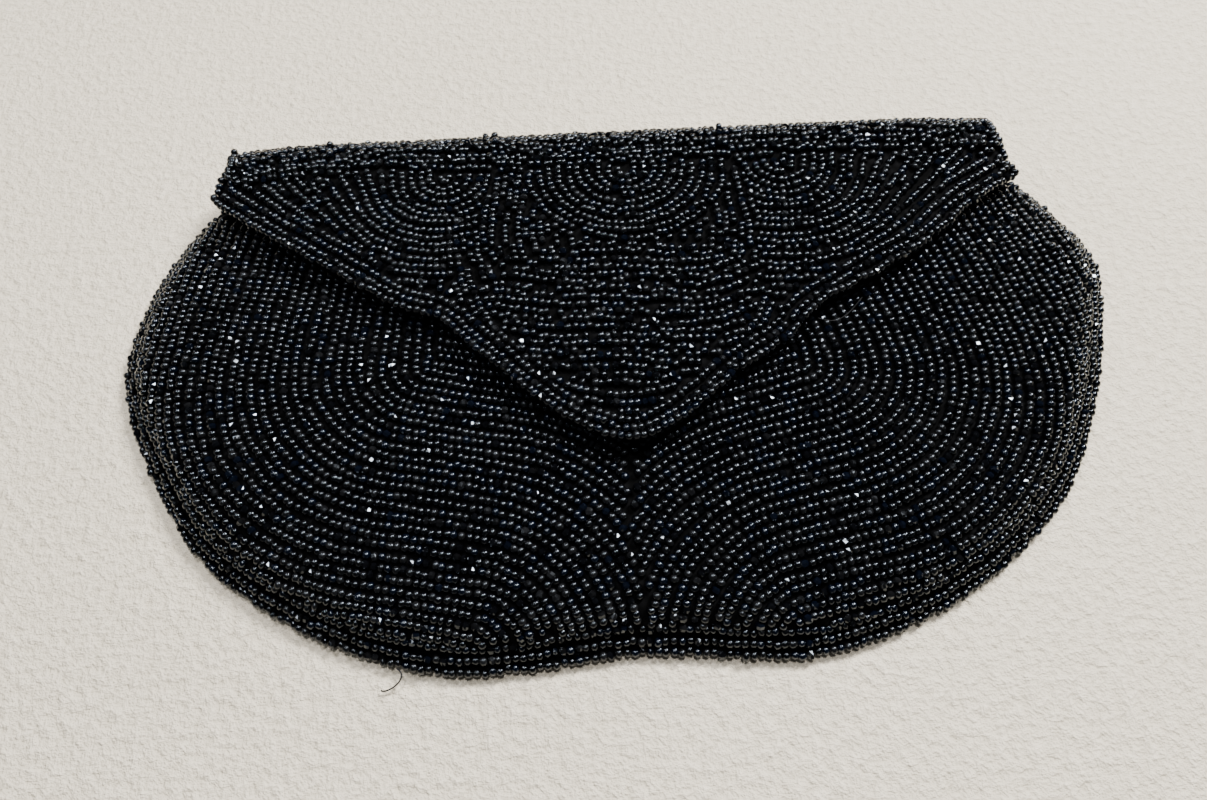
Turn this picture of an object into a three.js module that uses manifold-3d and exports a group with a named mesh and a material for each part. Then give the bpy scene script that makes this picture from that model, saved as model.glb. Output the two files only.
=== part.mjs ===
// A flat beaded evening clutch, lying on its back and closed.
// X runs across the bag, Y from the hem to the fold, Z up through its thickness. Millimetres.
// The back wall, the narrow spine wall of the fold and the flap are three stiff walls of the same
// build, hinged along the two round corners of the fold. Each wall is, from outside to inside,
// a bead-covered net, a stiffener and a satin lining. The front wall is softer and domed, and is
// joined to the back wall round the hem and sides, open along its mouth.
import * as THREE from "three";
import { mergeVertices } from "three/addons/utils/BufferGeometryUtils.js";
import Module from "manifold-3d";

const wasm = await Module();
wasm.setup();

// Layers of a wall, each as its depth below the outer surface
const BEADED = [0, 1.7];
const BOARD = [2.0, 2.7];
const LINING = [3.0, 3.5];
const FRONT_INTERLINING = [2.1, 2.8];
const FRONT_LINING = [3.2, 3.7];

// Fold: where its outer face stands, and the radius of both its corners
const FOLD_Y = 111.5;
const FOLD_R = 6;
const FOLD_HALF_WIDTH = 80.5;
const BEND_Y = FOLD_Y - FOLD_R;
const MITRE_Y = BEND_Y + (FOLD_R * Math.PI) / 4; // the corner's middle, unrolled flat
const MITRE_GAP = 0.2;

// Heights
const FLAP_TOP = 16.9;
const FLAP_DROOP = 3.2; // how far the flap's two side corners hang below its middle
const DROOP_FROM = 55;
const DROOP_OVER = 28;
const FRONT_RIM_TOP = 2.6;
const EDGE_RISE = 4.6; // the front wall's quick roll up from its seam
const EDGE_ROLL = 5;
const DOME_RISE = 5.8; // and its slow dome behind that
const DOME_REACH = 42;
const BACK_CLEARANCE = 2.0; // the front wall's beads stay over the back wall's

// Insets from the outline, for the bead edging and for the layers behind it
const EDGING_R = 0.9;
const EDGING_INSET = 1.0;
const BEADED_INSET = 2.2;
const BOARD_INSET = 4.6;
const LINING_INSET = 4.0;
const FRONT_LINING_INSET = 6.2;
const EDGING_Z = 2.0;
const EDGING_SIDES = 6;

const MOUTH_Y = 97;
const FLAP_CORNER_X = 83.3;
const SNAP = { x: 0.5, y: 50, outer: 4.8, hole: 1.7, post: 1.3, recess: 5.6 };
const POCKET = { width: 104, depth: 60, hem: 22, corner: 6, thick: 0.5, lift: 0.3 };

// Outlines: the body from one end of the fold down round the hem to the other, unrolled flat and
// running on past the fold, and the flap's scalloped lower edge between its two side corners
const BODY_EDGE = [
  [-76, 116], [-91, 96], [-98.3, 77], [-99, 60], [-89.5, 38.5], [-77.5, 22],
  [-57, 8], [-33, 0.3], [1, 2.2], [31, 0.8], [57, 9.6], [78, 25.5], [89.5, 44],
  [97.5, 66], [99.6, 80], [91.5, 96], [76, 116],
];
const FLAP_EDGE = [
  [-FLAP_CORNER_X, 97], [-72, 87.5], [-57.5, 77], [-43, 67.2], [-35.5, 64.3], [-29, 58],
  [-16, 45.5], [-8, 39.6], [0.5, 36.5], [9, 40], [21.5, 50.3], [30.5, 56], [37, 62.8],
  [46, 68], [60, 76.5], [73, 87.5], [FLAP_CORNER_X, 94.5],
];

const clamp = (value, low, high) => Math.min(high, Math.max(low, value));
const mix = (a, b, t) => a + (b - a) * t;

// Points evenly spaced along a smooth curve through the outline's points
function curvePoints(outline, count) {
  const curve = new THREE.CatmullRomCurve3(
    outline.map(([x, y]) => new THREE.Vector3(x, y, 0)), false, "centripetal");
  return curve.getSpacedPoints(count).map((p) => [p.x, p.y]);
}

// The same points moved square to the curve, to its left as it is followed, which is inwards
function inset(points, distance) {
  return points.map(([x, y], i) => {
    const [ax, ay] = points[Math.max(i - 1, 0)];
    const [bx, by] = points[Math.min(i + 1, points.length - 1)];
    const length = Math.hypot(bx - ax, by - ay);
    return [x - ((by - ay) / length) * distance, y + ((bx - ax) / length) * distance];
  });
}

// The stretch of the body's edge below a height, with its ends exactly at that height
function below(points, top) {
  const cut = (a, b) => {
    const t = (top - a[1]) / (b[1] - a[1]);
    return [mix(a[0], b[0], t), top];
  };
  const first = points.findIndex((p) => p[1] < top);
  const last = points.findLastIndex((p) => p[1] < top);
  return [
    cut(points[first - 1], points[first]),
    ...points.slice(first, last + 1),
    cut(points[last + 1], points[last]),
  ];
}

// Every nth point of a line, keeping both ends
function thinned(points, count) {
  return Array.from({ length: count + 1 }, (_, i) =>
    points[Math.round((i / count) * (points.length - 1))]);
}

function distanceTo(line, x, y) {
  let nearest = Infinity;
  for (let i = 1; i < line.length; i++) {
    const [ax, ay] = line[i - 1];
    const [dx, dy] = [line[i][0] - ax, line[i][1] - ay];
    const t = clamp(((x - ax) * dx + (y - ay) * dy) / (dx * dx + dy * dy), 0, 1);
    nearest = Math.min(nearest, Math.hypot(x - ax - t * dx, y - ay - t * dy));
  }
  return nearest;
}

const bodyLine = curvePoints(BODY_EDGE, 240);
const frontSeam = below(inset(bodyLine, BEADED_INSET), MOUTH_Y);

// The front wall's outer surface: a quarter round at the seam, then a shallow dome
function frontTop(x, y) {
  const d = distanceTo(frontSeam, x, y);
  const roll = 1 - clamp(d / EDGE_ROLL, 0, 1);
  const dome = clamp(d / DOME_REACH, 0, 1);
  return FRONT_RIM_TOP + EDGE_RISE * Math.sqrt(1 - roll * roll) + DOME_RISE * dome * (2 - dome);
}

// The flap's outer surface, flat but for its side corners
function flapTop(x) {
  return FLAP_TOP - FLAP_DROOP * clamp((Math.abs(x) - DROOP_FROM) / DROOP_OVER, 0, 1.1) ** 2;
}

// A point of each wall, at a depth below its outer surface. y is measured unrolled, so past
// BEND_Y it runs round the fold's corner.
function onBack(x, y, depth) {
  if (y <= BEND_Y) return [x, y, depth];
  const turn = (y - BEND_Y) / FOLD_R;
  const r = FOLD_R - depth;
  return [x, BEND_Y + r * Math.sin(turn), FOLD_R - r * Math.cos(turn)];
}

function onFlap(x, y, depth) {
  const top = flapTop(x);
  if (y <= BEND_Y) return [x, y, top - depth];
  const turn = (y - BEND_Y) / FOLD_R;
  const r = FOLD_R - depth;
  return [x, BEND_Y + r * Math.sin(turn), top - FOLD_R + r * Math.cos(turn)];
}

function onFront(x, y, depth) {
  return [x, y, Math.max(frontTop(x, y) - depth, BACK_CLEARANCE)];
}

// along runs 0 to 1 round the rest of the lower corner, to 2 up the flat and to 3 round the upper
function onSpine(x, along, depth) {
  const r = FOLD_R - depth;
  const top = flapTop(x);
  const eighth = Math.PI / 4 - MITRE_GAP / FOLD_R;
  if (along <= 1) {
    const turn = Math.PI / 2 - (1 - along) * eighth;
    return [x, BEND_Y + r * Math.sin(turn), FOLD_R - r * Math.cos(turn)];
  }
  if (along <= 2) return [x, FOLD_Y - depth, mix(FOLD_R, top - FOLD_R, along - 1)];
  const turn = (along - 2) * eighth;
  return [x, BEND_Y + r * Math.cos(turn), top - FOLD_R + r * Math.sin(turn)];
}

// A closed sheet between two depths: place(i, j, depth) gives the points of its grid. Seen from
// outside, the columns i run from left to right while the rows j run downwards.
function sheet(columns, rows, place, [outer, inner]) {
  const grid = [];
  for (const depth of [outer, inner])
    for (let i = 0; i <= columns; i++)
      for (let j = 0; j <= rows; j++) grid.push(...place(i, j, depth));
  const at = (side, i, j) => (side * (columns + 1) + i) * (rows + 1) + j;
  const faces = [];
  const quad = (a, b, c, d) => faces.push(a, b, c, a, c, d);
  for (let i = 0; i < columns; i++)
    for (let j = 0; j < rows; j++) {
      quad(at(0, i, j), at(0, i, j + 1), at(0, i + 1, j + 1), at(0, i + 1, j));
      quad(at(1, i, j), at(1, i + 1, j), at(1, i + 1, j + 1), at(1, i, j + 1));
    }
  for (let i = 0; i < columns; i++) {
    quad(at(0, i, 0), at(0, i + 1, 0), at(1, i + 1, 0), at(1, i, 0));
    quad(at(0, i + 1, rows), at(0, i, rows), at(1, i, rows), at(1, i + 1, rows));
  }
  for (let j = 0; j < rows; j++) {
    quad(at(0, 0, j + 1), at(0, 0, j), at(1, 0, j), at(1, 0, j + 1));
    quad(at(0, columns, j), at(0, columns, j + 1), at(1, columns, j + 1), at(1, columns, j));
  }
  const geometry = new THREE.BufferGeometry();
  geometry.setAttribute("position", new THREE.Float32BufferAttribute(grid, 3));
  geometry.setIndex(faces);
  return withoutSlivers(mergeVertices(geometry, 1e-3));
}

// Drops the faces that collapsed where a sheet runs out to a point
function withoutSlivers(geometry) {
  const old = geometry.index.array;
  const kept = [];
  for (let i = 0; i < old.length; i += 3) {
    const [a, b, c] = [old[i], old[i + 1], old[i + 2]];
    if (a !== b && b !== c && a !== c) kept.push(a, b, c);
  }
  geometry.setIndex(kept);
  return geometry;
}

function solid(geometry) {
  const plain = geometry.clone();
  plain.deleteAttribute("normal");
  plain.deleteAttribute("uv");
  const merged = mergeVertices(plain, 1e-3);
  return new wasm.Manifold(new wasm.Mesh({
    numProp: 3,
    vertProperties: merged.attributes.position.array,
    triVerts: new Uint32Array(merged.index.array),
  }));
}

function cutFrom(geometry, tool) {
  const mesh = solid(geometry).subtract(solid(tool)).getMesh();
  const cut = new THREE.BufferGeometry();
  cut.setAttribute("position", new THREE.BufferAttribute(mesh.vertProperties, 3));
  cut.setIndex(new THREE.BufferAttribute(mesh.triVerts, 1));
  return cut;
}

// A bead edging is a plain round roll along the outline, a little inside it
function edging(points, steps) {
  const path = new THREE.CatmullRomCurve3(points.map((p) => new THREE.Vector3(...p)));
  const section = new THREE.Shape();
  section.absarc(0, 0, EDGING_R, 0, 2 * Math.PI);
  return new THREE.ExtrudeGeometry(section, { steps, extrudePath: path, curveSegments: EDGING_SIDES / 2 });
}

const jet = () => new THREE.MeshStandardMaterial({ color: 0x08080a, roughness: 0.12, metalness: 0 });
const board = () => new THREE.MeshStandardMaterial({ color: 0xb9a887, roughness: 0.9, metalness: 0 });
const cotton = () => new THREE.MeshStandardMaterial({ color: 0xd9d3c4, roughness: 0.95, metalness: 0 });
const satin = () => new THREE.MeshStandardMaterial({ color: 0x121113, roughness: 0.4, metalness: 0 });
const steel = () => new THREE.MeshStandardMaterial({ color: 0x2b2b2e, roughness: 0.35, metalness: 0.9 });

const bag = new THREE.Group();
function add(name, geometry, material) {
  const mesh = new THREE.Mesh(geometry, material);
  mesh.name = name;
  bag.add(mesh);
  return mesh;
}

// A point of a wall's grid, on row j of the straight line from the fold to a point of the wall's
// edge. The first few rows lie close together round the fold's corner.
const BEND_ROWS = 3;
function rowPoint(foldX, foldY, [edgeX, edgeY], j, rows) {
  const flatY = Math.min(BEND_Y, foldY);
  const wanted = j <= BEND_ROWS
    ? mix(foldY, flatY, j / BEND_ROWS)
    : mix(flatY, edgeY, (j - BEND_ROWS) / (rows - BEND_ROWS));
  const y = Math.max(wanted, edgeY);
  const along = foldY > edgeY ? (foldY - y) / (foldY - edgeY) : 1;
  return [mix(foldX, edgeX, along), y];
}

// Back wall
function backSheet(insetBy, foldY, count, rows, depths) {
  const edge = thinned(below(inset(bodyLine, insetBy), foldY), count);
  const left = edge[0][0];
  const right = edge[count][0];
  const place = (i, j, depth) => {
    const [x, y] = rowPoint(mix(left, right, i / count), foldY, edge[i], j, rows);
    return onBack(x, y, depth);
  };
  return sheet(count, rows, (i, j, depth) => place(count - i, j, depth), depths);
}
add("back_beaded_panel", backSheet(BEADED_INSET, MITRE_Y - MITRE_GAP, 44, 6, BEADED), jet());
add("back_board", backSheet(BOARD_INSET, BEND_Y - 1, 32, 4, BOARD), board());
add("back_lining", backSheet(LINING_INSET, MITRE_Y - MITRE_GAP, 32, 6, LINING), satin());

// A slip pocket lies flat on the back wall's lining, open towards the mouth
function pocketShape({ width, depth, hem, corner }) {
  const shape = new THREE.Shape();
  const half = width / 2;
  shape.moveTo(-half, hem + depth);
  shape.lineTo(-half, hem + corner);
  shape.quadraticCurveTo(-half, hem, -half + corner, hem);
  shape.lineTo(half - corner, hem);
  shape.quadraticCurveTo(half, hem, half, hem + corner);
  shape.lineTo(half, hem + depth);
  return shape;
}
const pocket = add("inner_pocket_panel",
  new THREE.ExtrudeGeometry(pocketShape(POCKET), { depth: POCKET.thick, bevelEnabled: false }), satin());
pocket.position.z = LINING[1] + POCKET.lift;

// Front wall, closer rows near the seam where it rolls over
const ROWS_TO_SEAM = [0, 0.18, 0.36, 0.54, 0.7, 0.82, 0.9, 0.94, 0.97, 0.985, 1];
const ROWS_INSIDE = [0, 0.25, 0.5, 0.7, 0.84, 0.92, 0.97, 1];
function frontSheet(insetBy, mouthY, count, rows, depths) {
  const edge = thinned(below(inset(bodyLine, insetBy), mouthY), count);
  const left = edge[0][0];
  const right = edge[count][0];
  const place = (i, j, depth) => {
    const x = mix(mix(left, right, i / count), edge[i][0], rows[j]);
    const y = mix(mouthY, edge[i][1], rows[j]);
    return onFront(x, y, depth);
  };
  return sheet(count, rows.length - 1, place, depths);
}
const snapRecess = new THREE.CylinderGeometry(SNAP.recess, SNAP.recess, 8, 24);
snapRecess.rotateX(Math.PI / 2);
snapRecess.translate(SNAP.x, SNAP.y, frontTop(SNAP.x, SNAP.y));
add("front_beaded_panel",
  cutFrom(frontSheet(BEADED_INSET, MOUTH_Y, 48, ROWS_TO_SEAM, BEADED), snapRecess), jet());
add("front_interlining", frontSheet(BOARD_INSET, MOUTH_Y - 1, 36, ROWS_INSIDE, FRONT_INTERLINING), cotton());
add("front_lining", frontSheet(FRONT_LINING_INSET, MOUTH_Y - 0.5, 36, ROWS_INSIDE, FRONT_LINING), satin());

// Bead edging round the body and along the mouth
const bodyEdging = thinned(below(inset(bodyLine, EDGING_INSET), BEND_Y), 48);
add("body_edging", edging(bodyEdging.map(([x, y]) => [x, y, EDGING_Z]), 64), jet());
const MOUTH_EDGING_Y = MOUTH_Y + 1.3;
const MOUTH_HALF_WIDTH = 83;
const mouthEdging = Array.from({ length: 25 }, (_, i) => {
  const x = mix(-MOUTH_HALF_WIDTH, MOUTH_HALF_WIDTH, i / 24);
  return [x, MOUTH_EDGING_Y, frontTop(x, MOUTH_Y) - EDGING_R];
});
add("mouth_edging", edging(mouthEdging, 32), jet());

// Spine wall of the fold
function spineSheet(halfWidth, depths) {
  const alongs = [0, 0.33, 0.67, 1, 2, 2.33, 2.67, 3];
  const columns = 20;
  const place = (i, j, depth) => onSpine(mix(-halfWidth, halfWidth, i / columns), alongs[j], depth);
  return sheet(columns, alongs.length - 1, place, depths);
}
const SPINE_BEADED_HALF = FOLD_HALF_WIDTH - BEADED_INSET;
const SPINE_INNER_HALF = FOLD_HALF_WIDTH - LINING_INSET;
add("spine_beaded_strip", spineSheet(SPINE_BEADED_HALF, BEADED), jet());
add("spine_interlining", spineSheet(SPINE_INNER_HALF, BOARD), cotton());
add("spine_lining", spineSheet(SPINE_INNER_HALF, LINING), satin());
for (const [side, sign] of [["left", -1], ["right", 1]]) {
  const x = sign * (FOLD_HALF_WIDTH - EDGING_INSET);
  const points = [0.4, 1, 1.5, 2, 2.6].map((along) => onSpine(x, along, EDGING_R));
  add("spine_edging_" + side, edging(points, 10), jet());
}

// Flap. Its grid's lines run from the fold to the scalloped lower edge.
function flapEdge(insetBy, count) {
  const edge = inset(curvePoints(FLAP_EDGE, count), insetBy);
  const leftScale = (FLAP_CORNER_X - insetBy) / -edge[0][0];
  const rightScale = (FLAP_CORNER_X - insetBy) / edge[count][0];
  return edge.map(([x, y]) => [x * (x < 0 ? leftScale : rightScale), y]);
}
function flapSheet(insetBy, foldY, count, rows, depths) {
  const edge = flapEdge(insetBy, count);
  const half = FOLD_HALF_WIDTH - insetBy;
  const place = (i, j, depth) => {
    const [x, y] = rowPoint(mix(-half, half, i / count), foldY, edge[i], j, rows);
    return onFlap(x, y, depth);
  };
  return sheet(count, rows, place, depths);
}
add("flap_beaded_panel", flapSheet(BEADED_INSET, MITRE_Y - MITRE_GAP, 48, 7, BEADED), jet());
add("flap_board", flapSheet(BOARD_INSET, BEND_Y - 1, 36, 5, BOARD), board());
add("flap_lining", flapSheet(LINING_INSET, MITRE_Y - MITRE_GAP, 36, 6, LINING), satin());
const flapRim = flapEdge(EDGING_INSET, 40);
const flapSide = (sign, corner) =>
  rowPoint(sign * (FOLD_HALF_WIDTH - EDGING_INSET), MITRE_Y, corner, BEND_ROWS, BEND_ROWS + 1);
const flapEdgingLine = [flapSide(-1, flapRim[0]), ...flapRim, flapSide(1, flapRim.at(-1))];
add("flap_edging",
  edging(flapEdgingLine.map(([x, y]) => onFlap(x, y, EDGING_R)), 64), jet());

// Sewn snap fastener: a pierced disc in a bare spot of the front, and a disc with a post on the flap
function turned(profile) {
  const points = profile.map(([r, z]) => new THREE.Vector2(r, z));
  const geometry = new THREE.LatheGeometry([...points, points[0].clone()], 24);
  geometry.rotateX(Math.PI / 2);
  return geometry;
}
const DISC = 0.7;
const PLAY = 0.3;
const socketZ = frontTop(SNAP.x, SNAP.y) - FRONT_INTERLINING[0] + PLAY;
const socket = add("snap_socket", turned([
  [SNAP.hole, 0], [SNAP.outer, 0], [SNAP.outer, DISC * 0.6], [SNAP.hole + 1, DISC], [SNAP.hole, DISC],
]), steel());
socket.position.set(SNAP.x, SNAP.y, socketZ);
const ballZ = flapTop(SNAP.x) - LINING[1] - PLAY - DISC;
const ball = add("snap_ball", turned([
  [0, -DISC - PLAY], [SNAP.post, -DISC], [SNAP.post, 0], [SNAP.outer, 0], [SNAP.outer, DISC], [0, DISC],
]), steel());
ball.position.set(SNAP.x, SNAP.y, ballZ);

// The frame's origin is the middle of the footprint
const box = new THREE.Box3().setFromObject(bag, true);
bag.position.set(-(box.min.x + box.max.x) / 2, -(box.min.y + box.max.y) / 2, 0);

export default bag;
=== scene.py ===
import math

import bmesh
import bpy
import numpy as np
from mathutils import Euler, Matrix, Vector


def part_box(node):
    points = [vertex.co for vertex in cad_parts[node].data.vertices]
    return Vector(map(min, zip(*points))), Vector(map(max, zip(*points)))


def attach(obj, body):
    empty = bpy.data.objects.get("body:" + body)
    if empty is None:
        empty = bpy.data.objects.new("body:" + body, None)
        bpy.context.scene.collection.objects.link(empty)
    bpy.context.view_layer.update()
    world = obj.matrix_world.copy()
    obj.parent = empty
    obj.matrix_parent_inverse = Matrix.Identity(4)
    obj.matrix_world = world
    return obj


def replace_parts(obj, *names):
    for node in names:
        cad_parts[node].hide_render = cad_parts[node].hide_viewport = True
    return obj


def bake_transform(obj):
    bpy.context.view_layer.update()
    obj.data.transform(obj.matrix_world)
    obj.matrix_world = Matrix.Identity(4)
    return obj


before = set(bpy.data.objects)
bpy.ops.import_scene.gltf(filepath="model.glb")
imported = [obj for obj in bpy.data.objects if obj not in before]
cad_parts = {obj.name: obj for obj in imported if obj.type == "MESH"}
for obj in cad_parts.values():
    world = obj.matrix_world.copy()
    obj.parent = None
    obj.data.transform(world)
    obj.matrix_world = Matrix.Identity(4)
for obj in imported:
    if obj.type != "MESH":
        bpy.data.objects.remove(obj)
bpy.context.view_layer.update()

draw = np.random.default_rng(1926)


# ---------------------------------------------------------------------------------------------
# The view: from above and in front, a hand's breadth over the hem, as someone looks at a bag
# that lies on a table before them.
# ---------------------------------------------------------------------------------------------
camera = bpy.data.objects.new("camera", bpy.data.cameras.new("camera"))
bpy.context.scene.collection.objects.link(camera)
camera.data.sensor_width = 36.0
camera.data.lens = 29.71
camera.data.clip_start = 0.005
DOWN, ROLL, TURN = math.radians(61.565), math.radians(-2.661), math.radians(-0.237)
camera.location = (-0.00518, -0.09656, 0.17332)
tilt = Euler((math.pi / 2 - DOWN, 0.0, 0.0)).to_matrix()
camera.rotation_euler = (tilt @ Euler((0.0, TURN, ROLL)).to_matrix()).to_euler()
bpy.context.scene.camera = camera


# ---------------------------------------------------------------------------------------------
# Table top: a pale, faintly pebbled sheet, far larger than the bag. It is lit from above by one
# wide soft light, and by smaller ones that give each glass bead its own point of light.
# ---------------------------------------------------------------------------------------------
def plug(tree, value, socket):
    """Joins a wire to a socket, or sets the socket to a plain value."""
    if isinstance(value, Wire):
        tree.links.new(value.socket, socket)
    else:
        socket.default_value = value


class Wire:
    """The output of a node. A sum, difference, product or quotient of wires and numbers adds the
    Math node that works it out."""

    def __init__(self, socket):
        self.socket = socket

    def math(self, operation, first, second):
        tree = self.socket.id_data
        node = tree.nodes.new("ShaderNodeMath")
        node.operation = operation
        plug(tree, first, node.inputs[0])
        plug(tree, second, node.inputs[1])
        return Wire(node.outputs[0])

    def __add__(self, other):
        return self.math("ADD", self, other)

    def __radd__(self, other):
        return self.math("ADD", other, self)

    def __sub__(self, other):
        return self.math("SUBTRACT", self, other)

    def __rsub__(self, other):
        return self.math("SUBTRACT", other, self)

    def __mul__(self, other):
        return self.math("MULTIPLY", self, other)

    def __rmul__(self, other):
        return self.math("MULTIPLY", other, self)


class Finish:
    """A material with one Principled shader, whose plain values are given by socket name."""

    def __init__(self, name, plain):
        self.material = bpy.data.materials.new(name)
        self.material.use_nodes = True
        self.tree = self.material.node_tree
        self.shader = self.tree.nodes["Principled BSDF"]
        for socket, value in plain.items():
            self.shader.inputs[socket].default_value = value
        self.material.diffuse_color = plain["Base Color"]

    def node(self, kind, settings, inputs, output=0):
        """Adds a node: its settings first, then the plain values or wires of its inputs."""
        node = self.tree.nodes.new("ShaderNode" + kind)
        for name, value in settings.items():
            setattr(node, name, value)
        for name, value in inputs.items():
            plug(self.tree, value, node.inputs[name])
        return Wire(node.outputs[output])

    def place(self, scale=(1.0, 1.0, 1.0), turn=0.0):
        """The piece's own coordinates in metres, turned about Z and then scaled."""
        own = self.node("TexCoord", {}, {}, "Object")
        return self.node("Mapping", {}, {
            "Vector": own, "Scale": scale, "Rotation": (0.0, 0.0, turn)})

    def noise(self, where, scale, detail=2.0, roughness=0.5):
        """Cloudy noise from 0 to 1, with about this many lumps to the metre."""
        return self.node("TexNoise", {}, {
            "Vector": where, "Scale": scale, "Detail": detail, "Roughness": roughness})

    def threads(self, where, per_metre, direction):
        """Parallel threads: a sine wave across the given axis, from 0 to 1."""
        return self.node("TexWave", {"wave_type": "BANDS", "bands_direction": direction}, {
            "Vector": where, "Scale": per_metre / 20.0}, "Fac")

    def blend(self, share, first, second):
        """A colour between two, by a wire from 0 to 1."""
        node = self.tree.nodes.new("ShaderNodeMix")
        node.data_type = "RGBA"
        plug(self.tree, share, node.inputs["Factor"])
        for name, colour in (("A", first), ("B", second)):
            socket = [s for s in node.inputs if s.name == name and s.type == "RGBA"][0]
            plug(self.tree, colour, socket)
        return Wire([s for s in node.outputs if s.type == "RGBA"][0])

    def feed(self, socket, wire):
        """Joins a wire to one of the shader's sockets."""
        self.tree.links.new(wire.socket, self.shader.inputs[socket])

    def emboss(self, height, depth, strength=1.0):
        """Bends the shading as a surface with this height, from 0 to 1, times depth in metres."""
        self.feed("Normal", self.node("Bump", {}, {
            "Height": height, "Distance": depth, "Strength": strength}))


FLOOR_SIZE = 6.0


def table_top():
    finish = Finish("pale_table", {
        "Base Color": (0.72, 0.70, 0.65, 1.0), "Roughness": 0.55, "Specular IOR Level": 0.35})
    where = finish.place()
    pebble = finish.noise(where, 520.0, 3.0, 0.66)
    broad = finish.noise(where, 9.0, 2.0)
    finish.feed("Base Color", finish.blend(
        broad * 0.5 + pebble * 2.2 - 0.85, (0.655, 0.575, 0.435, 1.0), (0.865, 0.772, 0.615, 1.0)))
    finish.emboss(pebble, 0.0016, 0.8)
    mesh = bpy.data.meshes.new("table_top")
    half = FLOOR_SIZE / 2
    mesh.from_pydata([(-half, -half, 0), (half, -half, 0), (half, half, 0), (-half, half, 0)],
                     [], [(0, 1, 2, 3)])
    mesh.materials.append(finish.material)
    top = bpy.data.objects.new("table_top", mesh)
    bpy.context.scene.collection.objects.link(top)


def soft_light(name, place, size, power, colour):
    """A square light that faces the bag."""
    lamp = bpy.data.lights.new(name, "AREA")
    lamp.size, lamp.energy, lamp.color = size, power, colour
    light = bpy.data.objects.new(name, lamp)
    bpy.context.scene.collection.objects.link(light)
    light.location = place
    light.rotation_euler = (-Vector(place)).to_track_quat("-Z", "Y").to_euler()


table_top()
soft_light("window", (0.58, 0.50, 0.80), 0.26, 27.0, (1.0, 0.995, 0.985))
soft_light("ceiling_back", (-0.34, 0.55, 1.20), 0.22, 11.0, (0.98, 0.98, 1.0))
soft_light("ceiling_front", (0.06, 0.02, 1.40), 0.22, 9.0, (0.98, 0.98, 1.0))
soft_light("glint_left", (-0.60, 0.05, 0.62), 0.05, 0.8, (0.90, 0.95, 1.0))
world = bpy.data.worlds.new("room_light")
bpy.context.scene.world = world
world.use_nodes = True
world.node_tree.nodes["Background"].inputs["Color"].default_value = (0.93, 0.95, 1.0, 1.0)
world.node_tree.nodes["Background"].inputs["Strength"].default_value = 0.06


# ---------------------------------------------------------------------------------------------
# Ground net of the back wall: a fine black net, cut to the body's outline, that carries the back's
# beads. It is drawn over the back's buckram and turned up round the fold.
# ---------------------------------------------------------------------------------------------
# Millimetres, in the bag's own layout: X across, Y up from the hem, laid flat.
BODY_EDGE = [
    (-76, 116), (-91, 96), (-98.3, 77), (-99, 60), (-89.5, 38.5), (-77.5, 22),
    (-57, 8), (-33, 0.3), (1, 2.2), (31, 0.8), (57, 9.6), (78, 25.5), (89.5, 44),
    (97.5, 66), (99.6, 80), (91.5, 96), (76, 116),
]
FOLD_Y, FOLD_R = 111.5, 6.0  # the fold's outer face, and the radius of its two corners
BEND_Y = FOLD_Y - FOLD_R
NET_INSET = 0.4  # the net runs out under the bead edging
NET_DEPTH = (1.45, 1.65)  # its two faces, below the wall's outer face
NET_TOP = BEND_Y + 0.5  # it runs on a little round the fold
SNAP_X, SNAP_Y = 0.5, 50.0

MM = 1000  # millimetres to the metre
socket_low, socket_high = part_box("snap_socket")
SHIFT = np.array([
    MM * (socket_low.x + socket_high.x) / 2 - SNAP_X,
    MM * (socket_low.y + socket_high.y) / 2 - SNAP_Y,
    0.0,
])


def placed(points):
    """Layout millimetres to the bag's place in metres."""
    return (np.asarray(points, float) + SHIFT) / MM


def running(steps):
    """The running total of a row of steps, from 0."""
    return np.concatenate([[0], np.cumsum(steps)])


def at_lengths(line, along, at):
    """The places on a line of points at given lengths along it."""
    return np.column_stack([np.interp(at, along, column) for column in line.T])


def evenly(line, step=None, count=None):
    """The same line in even steps, ends kept: a set number of them, or as many as come nearest to
    the given step."""
    along = running(np.hypot(*np.diff(line, axis=0).T))
    count = count or max(1, round(along[-1] / step))
    return at_lengths(line, along, np.linspace(0, along[-1], count + 1))


def smooth_line(outline, step=0.8):
    """A centripetal Catmull-Rom curve through the points: between two of them a cubic whose end
    slopes follow the neighbours, weighted by the square roots of their distances."""
    p = np.asarray(outline, float)
    p = np.vstack([2 * p[0] - p[1], p, 2 * p[-1] - p[-2]])
    a, b, c, d = (p[i:len(p) - 3 + i][:, None, :] for i in range(4))
    root = [np.sqrt(np.hypot(*(q - r).transpose(2, 0, 1)))[..., None]
            for q, r in ((b, a), (c, b), (d, c))]
    start = ((b - a) / root[0] - (c - a) / (root[0] + root[1]) + (c - b) / root[1]) * root[1]
    end = ((c - b) / root[1] - (d - b) / (root[1] + root[2]) + (d - c) / root[2]) * root[1]
    t = np.linspace(0, 1, 24, endpoint=False)[None, :, None]
    curve = (b + start * t + (3 * (c - b) - 2 * start - end) * t ** 2
             + (2 * (b - c) + start + end) * t ** 3)
    return evenly(np.vstack([curve.reshape(-1, 2), p[-2]]), step)


def inset(line, distance):
    """The line moved to its left, which is inwards."""
    way = np.gradient(line, axis=0)
    way /= np.hypot(*way.T)[:, None]
    return line + distance * np.column_stack([-way[:, 1], way[:, 0]])


def below(line, top):
    """The stretch of a line that hangs under a height, with its ends cut at that height."""
    under = np.flatnonzero(line[:, 1] < top)
    first, last = under[0], under[-1]

    def cut(outer, inner):
        share = (top - outer[1]) / (inner[1] - outer[1])
        return [outer[0] + share * (inner[0] - outer[0]), top]
    return np.vstack([cut(line[first - 1], line[first]), line[first:last + 1],
                      cut(line[last + 1], line[last])])


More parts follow.
